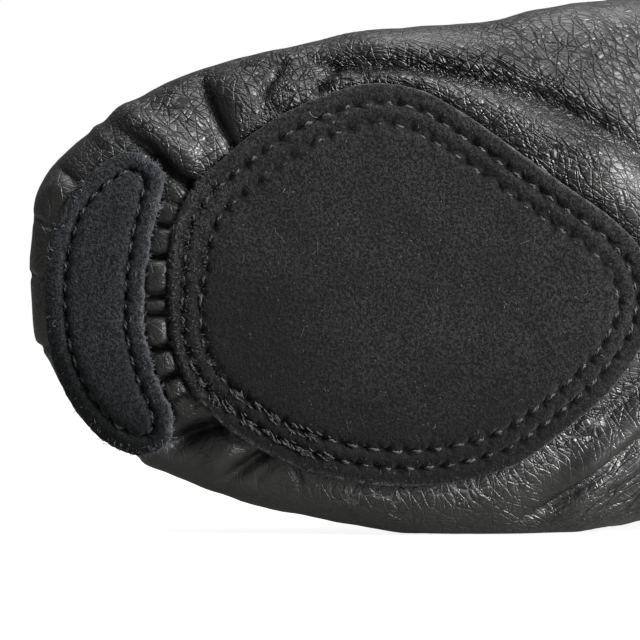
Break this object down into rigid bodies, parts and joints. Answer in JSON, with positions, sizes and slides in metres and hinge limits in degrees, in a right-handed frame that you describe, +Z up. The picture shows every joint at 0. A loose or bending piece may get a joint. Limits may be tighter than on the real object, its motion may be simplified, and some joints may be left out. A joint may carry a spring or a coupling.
{
  "type": "jazz boot",
  "caption": "Soft black leather dance boot for the right foot, with a plain ankle shaft and a split suede sole, lying on its outer side.",
  "frame": {"origin": "middle of the boot's box on the floor that its outer side lies on", "axes": "+X from toe to heel, +Y from sole to collar, +Z up from the outer side of the foot to the inner side"},
  "size_m": [0.246, 0.128, 0.1025],
  "materials": {
    "upper_leather": "soft crinkle grain, satin",
    "sole_suede": "suede nap, matte",
    "toe_suede": "suede nap, matte",
    "insole_fabric": "plain woven sock, matte"
  },
  "bodies": {
    "root": {"upper": "upper_leather", "forefoot_sole": "sole_suede", "toe_pad": "toe_suede", "heel_sole": "sole_suede", "insole": "insole_fabric"}
  },
  "joints": []
}
